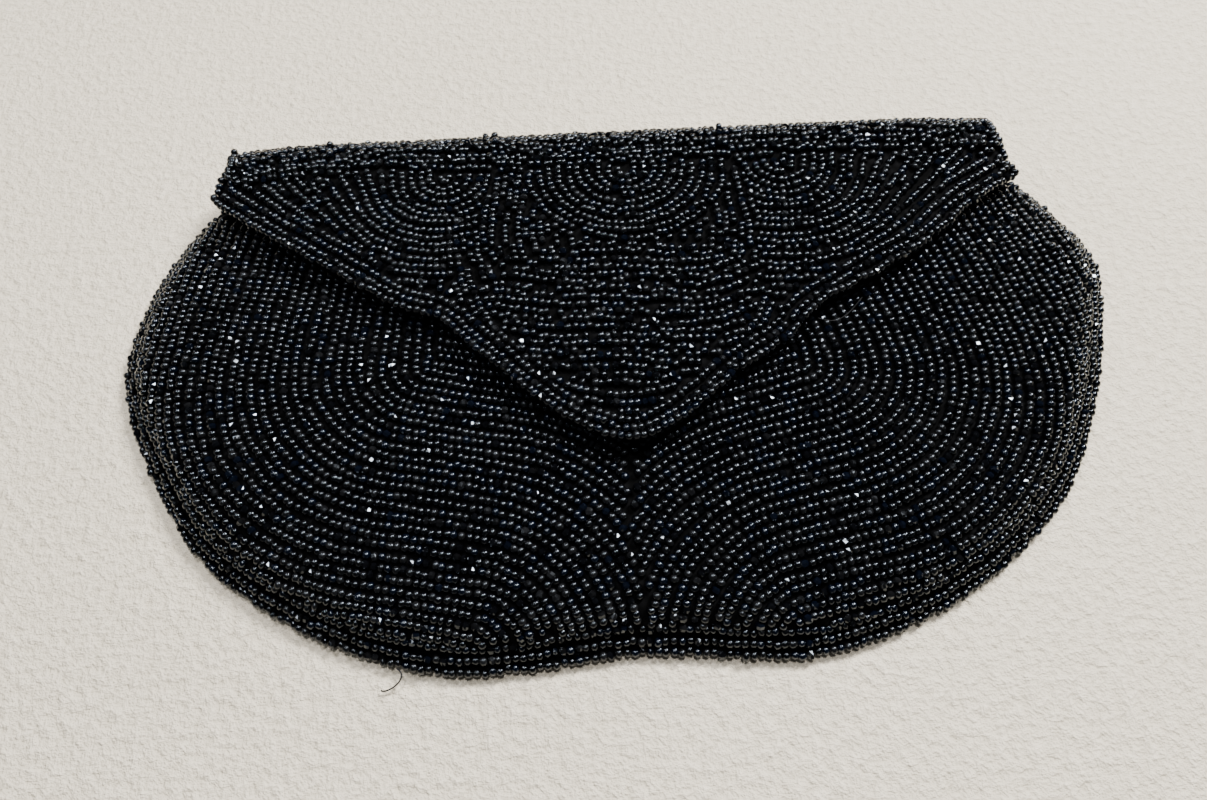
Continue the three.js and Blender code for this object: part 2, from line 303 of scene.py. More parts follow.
def on_back(x, y, depth=0.0):
    """The back wall at a depth below its outer face: flat, then past the bend a quarter round
    whose angle is the length left over the fold's radius."""
    turn = np.clip((y - BEND_Y) / FOLD_R, 0, None)
    r = FOLD_R - depth
    return np.stack([x + 0 * turn, np.minimum(y, BEND_Y) + r * np.sin(turn),
                     FOLD_R - r * np.cos(turn)], -1)


BEND_ROWS = 2


def wall_grid(edge, fold_y, half, rows):
    """A wall's grid of flat places. Each column runs from a point of the fold to a point of the
    edge; the first rows lie close together, round the bend. Without a half width, the fold's
    points lie between the edge's own two ends."""
    count = len(edge) - 1
    fold_x = np.linspace(-half, half, count + 1) if half else np.linspace(*edge[[0, -1], 0], count + 1)
    flat_y = min(BEND_Y, fold_y)
    share = np.linspace(0, 1, rows + 1)[1:, None]
    wanted = np.vstack([
        np.linspace(fold_y, flat_y, BEND_ROWS + 1)[:, None] * np.ones(count + 1),
        flat_y + (np.minimum(edge[:, 1], flat_y) - flat_y) * share,
    ])
    y = np.maximum(wanted, edge[:, 1])
    along = (fold_y - y) / np.maximum(fold_y - edge[:, 1], 1e-6)
    along = np.where(fold_y - edge[:, 1] < 1e-6, 1.0, along)
    return fold_x + (edge[:, 0] - fold_x) * along, y


def piece(name, mesh, finish):
    """An object at the origin, with the given finish if there is one."""
    if finish is not None:
        mesh.materials.append(finish)
    made = bpy.data.objects.new(name, mesh)
    bpy.context.scene.collection.objects.link(made)
    return made


CLOTH_EDGE = math.radians(40)  # a crease sharper than this is a cut edge


def thin_sheet(name, outer, inner, finish, slot):
    """A closed thin sheet: two grids of points, a skin on each, and a strip of faces that joins
    their rims. Columns that run out to a point are merged there."""
    rows, columns, _ = outer.shape
    size = rows * columns
    points = placed(np.concatenate([outer.reshape(-1, 3), inner.reshape(-1, 3)]))
    index = np.arange(size).reshape(rows, columns)
    skin = np.stack([index[:-1, :-1], index[1:, :-1], index[1:, 1:], index[:-1, 1:]], -1)
    skin = skin.reshape(-1, 4)
    rim = np.concatenate([index[0, :-1], index[:-1, -1], index[-1, :0:-1], index[:0:-1, 0]])
    after = np.roll(rim, -1)
    strip = np.stack([rim, after, after + size, rim + size], -1)
    faces = np.concatenate([skin, skin[:, ::-1] + size, strip])
    a, b, c, d = (points[faces[:, i]] for i in range(4))
    volume = (np.cross(b, c) * a).sum() + (np.cross(c, d) * a).sum()
    if volume < 0:
        faces = faces[:, ::-1]
    mesh = bpy.data.meshes.new(name)
    mesh.from_pydata(points, [], faces)
    work = bmesh.new()
    work.from_mesh(mesh)
    bmesh.ops.remove_doubles(work, verts=work.verts, dist=1e-6)
    work.to_mesh(mesh)
    work.free()
    mesh.shade_smooth()
    mesh.set_sharp_from_angle(angle=CLOTH_EDGE)
    return piece(name, mesh, finish)


def net_finish():
    """Black net: fine crossed threads, dull, a shade lighter on the threads."""
    finish = Finish("black_net", {
        "Base Color": (0.002, 0.002, 0.002, 1.0), "Roughness": 0.9, "Specular IOR Level": 0.05})
    where = finish.place(turn=0.7)
    weave = finish.threads(where, 2600.0, "X") * finish.threads(where, 2600.0, "Y")
    finish.feed("Base Color", finish.blend(weave, (0.0006, 0.0006, 0.0007, 1), (0.003, 0.003, 0.0033, 1)))
    finish.emboss(weave, 0.0001)
    return finish.material


NET = net_finish()
NET_COLUMNS = 200
body_line = smooth_line(BODY_EDGE)
back_rim = evenly(below(inset(body_line, NET_INSET), NET_TOP), count=NET_COLUMNS)
grid = wall_grid(back_rim, NET_TOP, None, 40)
back_net = thin_sheet("back_net", on_back(*grid, NET_DEPTH[0]), on_back(*grid, NET_DEPTH[1]),
                      NET, "jet_beads")
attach(back_net, "back")


# ---------------------------------------------------------------------------------------------
# Back wall's beads: small round beads of black glass, strung and couched down in curved rows.
# Each half is one lobe of rows that follow the outline down, hook round and run in to the middle.
# ---------------------------------------------------------------------------------------------
BEAD_WIDE, BEAD_LONG = 1.70, 1.26
PITCH = 1.36  # from bead to bead along a thread
ROW = 1.78  # from row to row
SIDE_SPREAD = 1.17  # rows lie this much wider apart where they run down the sides
ROW_FALL = math.radians(13.0)
BEAD_SINK = 0.88  # from the wall's outer face down to a bead's middle
PROUD = 0.75  # how much higher a bead on slack thread stands
WIDE_SPREAD, LONG_SPREAD = 0.06, 0.09  # how far the beads' sizes spread
BEAD_TILT, BEAD_UNEVEN = 0.20, 0.055  # spread of a bead's direction, and of its own radius
CUT_SHARE = 0.12  # share of the beads with flat, ground faces
ANY_ANGLE = (0, 6.28)

# Profile of a bead: share of its half length, and share of its radius
BEAD_PROFILE = np.array([(-1.0, 0.58), (-0.45, 0.96), (0.45, 0.96), (1.0, 0.58)])
BEAD_SIDES = 8


def bead_glass():
    """Four batches of black glass: clean, a little blue, smoky and dull with handling. A fine noise
    sets each bead of a batch a little apart in colour and in polish."""
    batches = [
        ("jet_clean", (0.0006, 0.0006, 0.0009, 1), (0.0018, 0.0019, 0.0026, 1), 0.02, 1.53),
        ("jet_blue", (0.0007, 0.0012, 0.0030, 1), (0.0014, 0.0026, 0.0065, 1), 0.03, 1.56),
        ("jet_smoky", (0.0014, 0.0014, 0.0016, 1), (0.0045, 0.0045, 0.0050, 1), 0.06, 1.48),
        ("jet_handled", (0.0022, 0.0022, 0.0025, 1), (0.0075, 0.0075, 0.0082, 1), 0.17, 1.44),
    ]
    made = []
    for name, dark, light, roughness, ior in batches:
        finish = Finish(name, {"Base Color": dark, "Roughness": roughness, "IOR": ior,
                               "Specular Tint": (0.80, 0.90, 1.0, 1.0)})
        apart = finish.noise(finish.place(), 430.0, 0.0)
        finish.feed("Base Color", finish.blend(apart * 1.6 - 0.3, dark, light))
        finish.feed("Roughness", roughness + 0.06 * apart)
        made.append(finish.material)
    return made


GLASS = bead_glass()
BATCH_SHARE = [0.46, 0.18, 0.20, 0.16]


def ringed(name, points):
    """A mesh of separate closed shapes. Each is a stack of rings of points, with a band of quads
    between neighbouring rings and a face on each end."""
    count, rings, sides, _ = points.shape
    ring = np.arange(sides)
    after = np.roll(ring, -1)
    bands = [np.stack([ring + k, after + k, after + k + sides, ring + k + sides], -1)
             for k in range(0, sides * (rings - 1), sides)]
    corners = np.concatenate([np.concatenate(bands).ravel(), ring[::-1], ring + sides * (rings - 1)])
    counts = np.array([4] * sides * (rings - 1) + [sides] * 2)
    loops = (corners[None] + rings * sides * np.arange(count)[:, None]).ravel()
    totals = np.tile(counts, count)
    mesh = bpy.data.meshes.new(name)
    mesh.vertices.add(rings * sides * count)
    mesh.vertices.foreach_set("co", placed(points.reshape(-1, 3)).ravel())
    mesh.loops.add(len(loops))
    mesh.loops.foreach_set("vertex_index", loops)
    mesh.polygons.add(len(totals))
    mesh.polygons.foreach_set("loop_start", np.concatenate([[0], np.cumsum(totals)[:-1]]))
    mesh.polygons.foreach_set("loop_total", totals)
    mesh.update(calc_edges=True)
    return mesh, len(counts)


def unit(vectors):
    """The vectors at length 1."""
    return vectors / np.maximum(np.linalg.norm(vectors, axis=-1, keepdims=True), 1e-12)


def bead_string(name, centres, ways, outs):
    """All the beads of a piece as one mesh. A bead is a short barrel on its thread: a ring point
    is the centre, plus its share of the half length along the thread, plus the radius times the
    cosine and sine of its angle along the two square directions. Each bead is spun, tilted and
    sized a little differently, and its surface is a little uneven."""
    count = len(centres)
    ways = unit(ways + draw.normal(0, BEAD_TILT, (count, 3)))
    side = unit(np.cross(outs, ways))
    out = np.cross(ways, side)
    angle = (np.arange(BEAD_SIDES) * 2 * np.pi / BEAD_SIDES)[None, :]
    angle = angle + draw.uniform(*ANY_ANGLE, (count, 1))
    radius = BEAD_WIDE / 2 * draw.normal(1, WIDE_SPREAD, (count, 1, 1))
    half = BEAD_LONG / 2 * draw.normal(1, LONG_SPREAD, (count, 1, 1))
    across = (np.cos(angle)[..., None] * side[:, None] + np.sin(angle)[..., None] * out[:, None])
    lengths, shares = BEAD_PROFILE.T
    uneven = draw.normal(1, BEAD_UNEVEN, (count, len(lengths), BEAD_SIDES, 1))
    points = (centres[:, None, None]
              + lengths[None, :, None, None] * (half * ways[:, None])[:, None]
              + uneven * shares[None, :, None, None] * (radius * across)[:, None])
    mesh, faces = ringed(name, points)
    for glass in GLASS:
        mesh.materials.append(glass)
    batch = draw.choice(len(GLASS), count, p=BATCH_SHARE)
    mesh.polygons.foreach_set("material_index", np.repeat(batch, faces))
    round_bead = draw.random(count) > CUT_SHARE
    mesh.polygons.foreach_set("use_smooth", np.repeat(round_bead, faces))
    return piece(name, mesh, None)


def inside(outline, points):
    """True for the points inside a closed outline, by how many of its sides lie to their right."""
    x, y = points[:, :1], points[:, 1:]
    ax, ay = outline.T
    bx, by = np.roll(outline, -1, axis=0).T
    spans = (ay > y) != (by > y)
    with np.errstate(divide="ignore", invalid="ignore"):
        crossing = x < (bx - ax) * (y - ay) / (by - ay) + ax
    return (spans & crossing).sum(1) % 2 == 1


THREAD_STEP = 0.6  # a thread is followed over the wall in steps of this length
PITCH_SPREAD = (0.975, 1.03)


class Sewing:
    """Beads sewn on a wall, thread by thread. Their pitch and the room between them are measured
    over the wall's own shape, and each thread lies in a slow wave. A bead is left off where the
    cloth ends, or where it would be nearer than the given room to one that is already there."""

    def __init__(self, surface, allowed):
        self.surface = surface
        self.allowed = allowed
        self.places = np.zeros((0, 2))
        self.ways = np.zeros((0, 2))
        self.solid = np.zeros((0, 3))
        self.group = np.zeros(0, int)

    def thread(self, line, room=1.32, group=0, where=None, wander=0.10):
        line = np.asarray(line, float)
        if len(line) < 2 or np.hypot(*np.diff(line, axis=0).T).sum() < 3 * PITCH:
            return  # too short to be worth a knot
        line = evenly(line, THREAD_STEP)
        along = running(np.linalg.norm(np.diff(self.surface(*line.T), axis=0), axis=1))
        pitch = PITCH * draw.uniform(*PITCH_SPREAD)
        at = np.arange(draw.uniform(0, 1) * pitch, along[-1], pitch)
        places = at_lengths(line, along, at)
        ways = np.gradient(places, axis=0)
        slack = draw.uniform(0.5, 2.5) * wander
        slack = slack * np.sin(at / draw.uniform(3, 8) + draw.uniform(*ANY_ANGLE))
        places = places + unit(ways)[:, ::-1] * (1, -1) * slack[:, None]
        places = places + draw.normal(0, wander, places.shape)
        good = self.allowed(places)
        if where is not None:
            good &= where(places)
        solid = self.surface(*places.T)
        if len(self.solid):
            low, high = solid.min(0) - room, solid.max(0) + room
            near = self.solid[((self.solid > low) & (self.solid < high)).all(1)]
            if len(near):
                gap = ((solid[:, None] - near[None]) ** 2).sum(-1).min(1)
                good &= gap > room ** 2
        self.places = np.vstack([self.places, places[good]])
        self.ways = np.vstack([self.ways, ways[good]])
        self.solid = np.vstack([self.solid, solid[good]])
        self.group = np.concatenate([self.group, np.full(good.sum(), group)])

    def threads(self, lines, **how):
        """One thread after another, all sewn in the same way."""
        for line in lines:
            self.thread(line, **how)


def lobe_row(side, hook, turn, lean, r, top):
    """One row of a lobe, drawn for the left half and mirrored for the right. It comes down the
    side, leaning out, runs round the hook's centre at radius r, goes straight in with a slight
    fall, and bends down round the lower centre. Under radius 0 only the straight stretch is left."""
    (hx, hy), (tx, ty) = hook, turn
    hx, tx = -abs(hx), -abs(tx)
    out = np.array([math.sin(ROW_FALL), math.cos(ROW_FALL)])
    way = np.array([math.cos(ROW_FALL), -math.sin(ROW_FALL)])
    parts = []
    if r > 0:
        y = np.linspace(top, hy, 14, endpoint=False)
        shift = math.tan(lean) * (y - hy - LEAN_OVER * (1 - np.exp((hy - y) / LEAN_OVER)))
        parts.append(np.column_stack([hx - SIDE_SPREAD * r + shift, y]))
        end = math.atan(1 / (SIDE_SPREAD * math.tan(ROW_FALL)))
        t = np.linspace(0, end, 30)
        parts.append(np.column_stack([hx - SIDE_SPREAD * r * np.cos(t), hy - r * np.sin(t)]))
        first = parts[-1][-1]
    else:
        first = np.array([hx, hy - r / math.cos(ROW_FALL)])
        parts.append(first[None])
    q = (first - (tx, ty)) @ out
    t = np.linspace(math.pi / 2 - ROW_FALL, 0, 24)
    if q > 0:
        parts.append(np.column_stack([tx + q * np.cos(t), ty + q * np.sin(t)]))
        parts.append([[tx + q, ty - 8]])
    else:
        parts.append([first + 40 * way])
    row = np.vstack(parts)
    return row * (side * -1, 1)


def sew_lobes(sewing, hooks, turns, top, seam):
    """Both lobes' rows, from the rim in, then short rows where two threads have drawn apart."""
    for group, side in ((0, -1), (1, 1)):
        def own_half(p, side=side):
            return side * (p[:, 0] - np.interp(p[:, 1], seam[:, 1], seam[:, 0])) > 0.2
        radii = np.arange(74.0, -50.0, -ROW)
        for room, shift in ((1.30, 0.0), (1.45, ROW / 2), (1.5, ROW / 4), (1.5, -ROW / 4)):
            sewing.threads([lobe_row(side, hooks[group], turns[group], LEANS[group], r - shift, top)
                            for r in radii], room=room, group=group, where=own_half)


LOBE_SEAM = np.array([(1.7, -5), (1.7, 3.6), (0.3, 13), (-1.0, 25.5), (0.5, 39.7), (0.5, 120)])
HOOKS = ((-36.2, 55.3), (33.0, 51.5))
TURNS = ((-29.7, 0.0), (30.0, 0.0))
LEANS = (math.radians(10.0), math.radians(18.0))
LEAN_OVER = 6.0  # the height over which a row takes up its lean

back_sewing = Sewing(on_back, lambda p: inside(below(inset(body_line, 1.5), BEND_Y + 0.2), p))
for group, side in ((0, -1), (1, 1)):
    back_sewing.thread(below(inset(body_line, 2.0), BEND_Y), group=group,
                       where=lambda p, side=side: side * p[:, 0] > 0)
sew_lobes(back_sewing, HOOKS, TURNS, BEND_Y + 2, LOBE_SEAM)


def raised(surface, sewing, facing=1, proud=0.0):
    """Lifts flat places on to a wall. The wall's slopes are measured a tenth of a millimetre to
    each side, their cross product faces out, and the bead's middle lies a little below the face.
    The given share of the beads stands proud, on slack thread."""
    x, y = sewing.places.T
    e = 0.1
    along_x = (surface(x + e, y) - surface(x - e, y)) / (2 * e)
    along_y = (surface(x, y + e) - surface(x, y - e)) / (2 * e)
    out = facing * unit(np.cross(along_x, along_y))
    ways = unit(sewing.ways[:, :1] * along_x + sewing.ways[:, 1:] * along_y)
    lift = BEAD_SINK + draw.normal(0, 0.05, (len(x), 1)) - PROUD * (draw.random((len(x), 1)) < proud)
    return surface(x, y) - out * lift, ways, out


def bead_pieces(names, surface, sewing, facing=1, proud=0.003):
    """One piece for each group of threads."""
    centres, ways, outs = raised(surface, sewing, facing, proud)
    return [bead_string(name, centres[sewing.group == i], ways[sewing.group == i],
                        outs[sewing.group == i]) for i, name in enumerate(names)]


for made in bead_pieces(["back_left_beads", "back_right_beads"], on_back, back_sewing, facing=-1,
                        proud=0.0):
    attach(made, "back")
    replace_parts(made, "back_beaded_panel")


# ---------------------------------------------------------------------------------------------
# Front wall: a softer panel of net and beads that rolls up from its seam and swells into a low
# dome. Its rows match the back's. A round bare spot is left for the snap.
# ---------------------------------------------------------------------------------------------
MOUTH_Y = 97.0
BEADED_INSET = 2.2
SNAP_BARE = 6.2  # radius of the bare spot
FRONT_RIM_TOP, EDGE_RISE, EDGE_ROLL, DOME_RISE, DOME_REACH = 2.6, 4.6, 5.0, 5.8, 42.0
front_seam = below(inset(body_line, BEADED_INSET), MOUTH_Y)


def distance_to(line, x, y):
    """How far places are from a line of points: the least distance to any of its stretches."""
    place = np.stack([np.ravel(x), np.ravel(y)], -1)[:, None]
    start, step = line[:-1], np.diff(line, axis=0)
    share = ((place - start) * step).sum(-1) / (step ** 2).sum(-1)
    nearest = start + np.clip(share, 0, 1)[..., None] * step
    return np.linalg.norm(place - nearest, axis=-1).min(1).reshape(np.shape(x))


def front_height(x, y):
    """A quarter round at the seam, then a shallow dome, then a slow unevenness that the stuffing
    hand leaves: two crossing waves."""
    d = distance_to(front_seam, x, y)
    roll = 1 - np.clip(d / EDGE_ROLL, 0, 1)
    dome = np.clip(d / DOME_REACH, 0, 1)
    slow = 0.22 * np.sin(x / 8.0 - y / 13.0) + 0.18 * np.sin(y / 9.0 + x / 23.0 + 0.6)
    return (FRONT_RIM_TOP + EDGE_RISE * np.sqrt(1 - roll ** 2) + DOME_RISE * dome * (2 - dome)
            + slow * np.clip(d / 12, 0, 1) - 0.15)


def on_front(x, y, depth=0.0):
    """The front wall at a depth below its outer face. At the rim its layers close up, over the
    back's."""
    lowest = 2.2 - 0.05 * depth
    return np.stack([x, y, np.maximum(front_height(x, y) - depth, lowest)], -1)


def front_grid(edge, mouth_y, rows):
    """Rows from the mouth down to the seam, closer together as the wall rolls over."""
    across = np.linspace(*edge[[0, -1], 0], len(edge))
    share = 1 - (1 - np.linspace(0, 1, rows + 1)[:, None]) ** 1.8
    return across + (edge[:, 0] - across) * share, mouth_y + (edge[:, 1] - mouth_y) * share


front_rim = evenly(front_seam, count=NET_COLUMNS)
grid = front_grid(front_rim, MOUTH_Y, 60)
front_net = thin_sheet("front_net", on_front(*grid, NET_DEPTH[0]), on_front(*grid, NET_DEPTH[1]),
                       NET, "jet_beads")
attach(front_net, "back")


def front_cloth(p):
    """True where beads are sewn: inside the seam, below the mouth and clear of the snap."""
    bare = np.hypot(p[:, 0] - SNAP_X, p[:, 1] - SNAP_Y) < SNAP_BARE
    return inside(below(inset(body_line, 2.5), MOUTH_Y - 0.6), p) & ~bare


front_sewing = Sewing(on_front, front_cloth)
RIM_CLIMB = 0.5  # radians up the quarter round of the rim
rim_thread = below(inset(body_line, BEADED_INSET + EDGE_ROLL * (1 - math.cos(RIM_CLIMB))), MOUTH_Y)
for group, side in ((0, -1), (1, 1)):
    front_sewing.thread(rim_thread, group=group, where=lambda p, side=side: side * p[:, 0] > 0)
sew_lobes(front_sewing, HOOKS, TURNS, MOUTH_Y + 1, LOBE_SEAM)
for made in bead_pieces(["front_left_beads", "front_right_beads"], on_front, front_sewing):
    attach(made, "back")
    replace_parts(made, "front_beaded_panel")


# ---------------------------------------------------------------------------------------------
# Bead edging: a thread of beads whipped over the raw edge where the front and back meet, a second
# one above it that hides the seam, and a third along the front's mouth.
# ---------------------------------------------------------------------------------------------
def edge_string(name, line, outs):
    """Beads at an even pitch on a line of places in space, each a little off it."""
    along = running(np.linalg.norm(np.diff(line, axis=0), axis=1))
    at = np.linspace(0, along[-1], round(along[-1] / PITCH))
    centres, out = (at_lengths(a, along, at) for a in (line, outs))
    ways = np.gradient(centres, axis=0)
    centres = centres + out * draw.normal(0, 0.16, (len(at), 1)) + draw.normal(0, 0.08, centres.shape)
    return bead_string(name, centres, ways, unit(out))


def outwards(line):
    """The directions out of an outline: square to its own, on its right."""
    way = np.gradient(line, axis=0)
    return np.column_stack([way[:, 1], -way[:, 0], 0 * way[:, 0]])


def rim_string(name, distance, top, height):
    """A string round the body's rim, at an inset from its outline and a height over the table."""
    line = below(inset(body_line, distance), top)
    made = edge_string(name, np.column_stack([line, np.full(len(line), height)]), outwards(line))
    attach(made, "back")
    return made


EDGING_INSET = 0.4
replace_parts(rim_string("body_edge_beads", EDGING_INSET, BEND_Y, 1.6), "body_edging")
rim_string("front_seam_beads", 1.9, MOUTH_Y, 3.0)

MOUTH_HALF = 83.0
x = np.linspace(-MOUTH_HALF, MOUTH_HALF, 80)
mouth_line = np.column_stack([x, 0 * x + MOUTH_Y + 1.3, front_height(x, 0 * x + MOUTH_Y) - 0.9])
mouth_edge = edge_string("mouth_edge_beads", mouth_line, np.tile([0.0, 0.5, 0.9], (len(x), 1)))
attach(mouth_edge, "back")
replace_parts(mouth_edge, "mouth_edging")


# ---------------------------------------------------------------------------------------------
# Flap: the same net and beads over buckram. Rows hang in a scallop on each side, follow the
# tip's edge in a deep loop, and arch the other way inside the tip.
# ---------------------------------------------------------------------------------------------
FOLD_HALF = 80.5
FLAP_TOP, FLAP_DROOP, DROOP_FROM, DROOP_OVER = 16.9, 3.2, 55.0, 28.0
FLAP_CORNER_X = 83.3
FLAP_EDGE = [
    (-FLAP_CORNER_X, 97), (-72, 87.5), (-57.5, 77), (-43, 67.2), (-35.5, 64.3), (-29, 58),
    (-16, 45.5), (-8, 39.6), (0.5, 36.5), (9, 40), (21.5, 50.3), (30.5, 56), (37, 62.8),
    (46, 68), (60, 76.5), (73, 87.5), (FLAP_CORNER_X, 94.5),
]
FOLD_BAND_Y = 102.5  # above it the threads run along the fold
FLAP_ROW = 1.75
SCALLOP_WIDE = 1.12  # an ellipse's width against its depth


def smoothstep(value, low, high):
    """0 up to low, 1 from high on, and between them 3 t squared less 2 t cubed."""
    t = np.clip((value - low) / (high - low), 0, 1)
    return t * t * (3 - 2 * t)


def flap_height(x, y):
    """The closed flap's outer face: level, with its two side corners hanging a little lower, the
    more so away from the fold, and a slow unevenness of a third of a millimetre."""
    droop = FLAP_DROOP * np.clip((np.abs(x) - DROOP_FROM) / DROOP_OVER, 0, 1.1) ** 2
    droop = droop * (0.5 + 0.5 * smoothstep(BEND_Y - y, -1, 9))
    slow = 0.16 * np.sin(x / 9.0 + y / 21.0) + 0.14 * np.sin(y / 7.5 - x / 17.0 + 1.3)
    return FLAP_TOP - 0.15 - droop + slow * smoothstep(BEND_Y - y, 0, 14)


def on_flap(x, y, depth=0.0):
    """The flap wall, and past the bend the upper quarter round of the fold."""
    turn = np.clip((y - BEND_Y) / FOLD_R, 0, None)
    r = FOLD_R - depth
    top = flap_height(x, y)
    return np.stack([x + 0 * turn, np.minimum(y, BEND_Y) + r * np.sin(turn),
                     top - FOLD_R + r * np.cos(turn)], -1)


def flap_rim(distance):
    """The flap's lower edge moved inwards, spread so that its ends stay under the side corners."""
    line = inset(smooth_line(FLAP_EDGE), distance)
    left = (FLAP_CORNER_X - distance) / -line[0, 0]
    right = (FLAP_CORNER_X - distance) / line[-1, 0]
    line[:, 0] *= np.where(line[:, 0] < 0, left, right)
    return line


def flap_outline(distance, top):
    """The whole flap, closed along the fold."""
    half = FOLD_HALF - distance
    return np.vstack([[-half, top], flap_rim(distance), [half, top]])


edge = evenly(flap_rim(NET_INSET), count=NET_COLUMNS)
grid = wall_grid(edge, NET_TOP, FOLD_HALF - NET_INSET, 44)
flap_net = thin_sheet("flap_net", on_flap(*grid, NET_DEPTH[0]), on_flap(*grid, NET_DEPTH[1]),
                      NET, "jet_beads")
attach(flap_net, "flap")
flap_outline(NET_INSET, NET_TOP)


def scallop_row(side, centre, r):
    """A row of a side scallop: the lower half of an ellipse, a straight arm up to the fold on the
    inner side, and an outer arm that leans out further the larger the row, until it lies along
    the flap's own edge. The ellipse ends where its own slope has that lean."""
    cx, cy = abs(centre[0]), centre[1]
    lean = math.radians(54.0) * float(smoothstep(r, 4, 30))
    t = np.linspace(math.pi, 2 * math.pi - math.atan(math.tan(lean) / SCALLOP_WIDE), 30)
    arc = np.column_stack([cx + SCALLOP_WIDE * r * np.cos(t), cy + r * np.sin(t)])
    inner = [arc[0] + (-1.5, 12)]
    outer = [arc[-1] + 60 * np.array([math.sin(lean), math.cos(lean)])]
    return np.vstack([inner, arc, outer]) * (side, 1)


def loop_row(centre, down, wide):
    """A row of the tip: the lower half of an ellipse, then arms straight up."""
    t = np.linspace(math.pi, 2 * math.pi, 48)
    arc = np.column_stack([centre[0] + wide * np.cos(t), centre[1] + down * np.sin(t)])
    return np.vstack([arc[0] + (1.5, 14), arc, arc[-1] + (-1.5, 14)])


flap_cloth = flap_outline(1.4, FOLD_BAND_Y)
flap_sewing = Sewing(on_flap, lambda p: inside(flap_cloth, p))
LEFT_BOUND = np.array([(-36, 60), (-35.5, 66), (-28, 86), (-24, 106)])
RIGHT_BOUND = np.array([(32, 54), (31, 60), (27.5, 70), (27, 90), (24, 106)])


def left_part(p):
    """The left scallop's share of the flap."""
    return p[:, 0] < np.interp(p[:, 1], LEFT_BOUND[:, 1], LEFT_BOUND[:, 0])


def right_part(p):
    """The right scallop's share of the flap."""
    return p[:, 0] > np.interp(p[:, 1], RIGHT_BOUND[:, 1], RIGHT_BOUND[:, 0])


def tip_part(p):
    """What lies between the two scallops."""
    return ~left_part(p) & ~right_part(p)


def tip_loops(downs):
    """Loops round the tip, each four fifths as wide to a side as it is deep."""
    return [loop_row(TIP_CENTRE, down, 0.80 * down) for down in downs]


def tip_row(y):
    """A nearly level row inside the tip, that sags to the right and rises at both ends."""
    x = np.linspace(-32, 32, 60)
    return np.column_stack([x, y + 2.5 * smoothstep(-x, 9, 26) - 1.5 * smoothstep(x, -3, 13)
                            + 3.5 * smoothstep(x, 16, 30)])


def level_rows(ys, wave):
    """Rows along the fold, each with a slow wave of its own."""
    x = np.linspace(-FLAP_CORNER_X, FLAP_CORNER_X, 90)
    return [np.column_stack([x, y + wave * np.sin(x / 9.0 + draw.uniform(*ANY_ANGLE))]) for y in ys]


TIP_CENTRE, TOP_CENTRE = (0.5, 84.0), (2.4, 98.0)
PARTS = (left_part, right_part, tip_part)
for group, part in enumerate(PARTS):
    flap_sewing.threads([flap_outline(1.8, BEND_Y), flap_rim(3.5)], group=group, where=part)
for group, part in enumerate(PARTS):
    flap_sewing.threads(level_rows((102.4, 101.0), 0.5), room=1.2, group=group, where=part,
                        wander=0.2)
for group, part in enumerate((left_part, right_part)):
    flap_sewing.thread(flap_rim(5.2), group=group,
                       where=lambda p, part=part: part(p) & (np.abs(p[:, 0]) > 46))
radii = np.arange(1.0, 60.0, FLAP_ROW)
SCALLOPS = ((-1, (-34.5, 97.5), left_part), (1, (34.0, 98.0), right_part))
for group, (side, centre, part) in enumerate(SCALLOPS):
    for shift, room in ((0.0, 1.3), (0.5, 1.42), (0.25, 1.5), (0.75, 1.5)):
        rows = [scallop_row(side, centre, r + shift * FLAP_ROW) for r in radii]
        flap_sewing.threads(rows, room=room, group=group, where=part, wander=0.13)
flap_sewing.threads(tip_loops(np.arange(42.2, 37.0, -FLAP_ROW)), group=2, where=tip_part)
flap_sewing.threads([loop_row(TOP_CENTRE, r, 1.15 * r) for r in np.arange(1.5, 18.0, FLAP_ROW)],
                    room=1.4, group=2, where=tip_part, wander=0.14)


def under_top_loops(p):
    """The tip's middle, under a parabola that the loops at its top keep above."""
    return tip_part(p) & (p[:, 1] < 80 - 0.012 * (p[:, 0] - 2) ** 2)


flap_sewing.threads([tip_row(y) for y in np.arange(46.0, 81.0, FLAP_ROW)], room=1.3, group=2,
                    where=under_top_loops, wander=0.2)
flap_sewing.threads(tip_loops(np.arange(46.0, 6.0, -FLAP_ROW)), room=1.42, group=2, where=tip_part)
for group, part in enumerate(PARTS):
    filling = [flap_rim(d) for d in np.arange(5.0, 17.0, 0.8)]
    filling += level_rows(np.arange(104, 38, -0.8), 0.2)
    flap_sewing.threads(filling, room=1.5, group=group, where=part)
FLAP_PIECES = ["flap_left_beads", "flap_right_beads", "flap_tip_beads"]
for made in bead_pieces(FLAP_PIECES, on_flap, flap_sewing):
    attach(made, "flap")
    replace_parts(made, "flap_beaded_panel")


def flap_side(corner, side):
    """The flap's short side, from the fold to a corner. It swells out a little in between, by half
    a sine wave."""
    y = np.linspace(BEND_Y, 98.5, 6)
    x = np.interp(y, [corner[1], BEND_Y], [corner[0], side * (FOLD_HALF - EDGING_INSET)])
    return np.column_stack([x + side * 0.3 * np.sin(np.linspace(0, math.pi, 6)), y])


rim = flap_rim(EDGING_INSET)
line = evenly(np.vstack([flap_side(rim[0], -1), rim, flap_side(rim[-1], 1)[::-1]]), 1.0)
flap_edge = edge_string("flap_edge_beads", on_flap(*line.T, 0.95), outwards(line))
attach(flap_edge, "flap")
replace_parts(flap_edge, "flap_edging")


# ---------------------------------------------------------------------------------------------
# Fold: the narrow spine between back and flap. The net and beads run on round both corners, and
# the skin bends there when the bag is opened, so it is made in a lower and an upper half.
# ---------------------------------------------------------------------------------------------
CORNER = FOLD_R * math.pi / 2  # length of the skin round one corner


